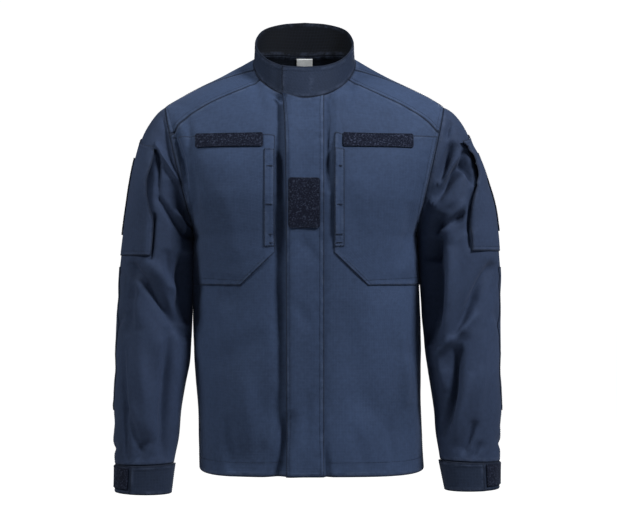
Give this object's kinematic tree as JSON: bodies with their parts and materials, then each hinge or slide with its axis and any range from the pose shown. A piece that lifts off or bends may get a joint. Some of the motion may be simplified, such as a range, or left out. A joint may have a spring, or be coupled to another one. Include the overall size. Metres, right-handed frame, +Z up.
{
  "type": "uniform jacket",
  "caption": "Worn uniform field jacket with stand collar, storm flap, large chest pockets, sleeve pockets, loop patches, elbow patches and tab cuffs, held in its hollow worn shape.",
  "frame": {"origin": "on the centre plane between the side neck points, level with the tops of the shoulders beside the neck, where the wearer's shoulders hold the jacket up", "axes": "+X to the wearer's left, -Y to the front, +Z up"},
  "size_m": [0.6638, 0.2755, 0.8109],
  "materials": {
    "ripstop_navy": "matt navy ripstop cloth",
    "loop_pile_navy": "dull navy loop tape with a short pile",
    "label_white": "plain pale woven tape"
  },
  "bodies": {
    "root": {"back": "ripstop_navy", "chest_pocket_left": "ripstop_navy", "chest_pocket_right": "ripstop_navy", "collar": "ripstop_navy", "cuff_left": "ripstop_navy", "cuff_loop_left": "loop_pile_navy", "cuff_loop_right": "loop_pile_navy", "cuff_right": "ripstop_navy", "cuff_tab_left": "ripstop_navy", "cuff_tab_right": "ripstop_navy", "elbow_patch_left": "ripstop_navy", "elbow_patch_right": "ripstop_navy", "front_left": "ripstop_navy", "front_right": "ripstop_navy", "name_tape_left": "loop_pile_navy", "name_tape_right": "loop_pile_navy", "neck_label": "label_white", "pocket_welt_left": "ripstop_navy", "pocket_welt_right": "ripstop_navy", "rank_loop": "loop_pile_navy", "sleeve_left": "ripstop_navy", "sleeve_loop_left": "loop_pile_navy", "sleeve_loop_right": "loop_pile_navy", "sleeve_pocket_left": "ripstop_navy", "sleeve_pocket_right": "ripstop_navy", "sleeve_right": "ripstop_navy", "storm_flap": "ripstop_navy", "yoke_left": "ripstop_navy", "yoke_right": "ripstop_navy"}
  },
  "joints": []
}
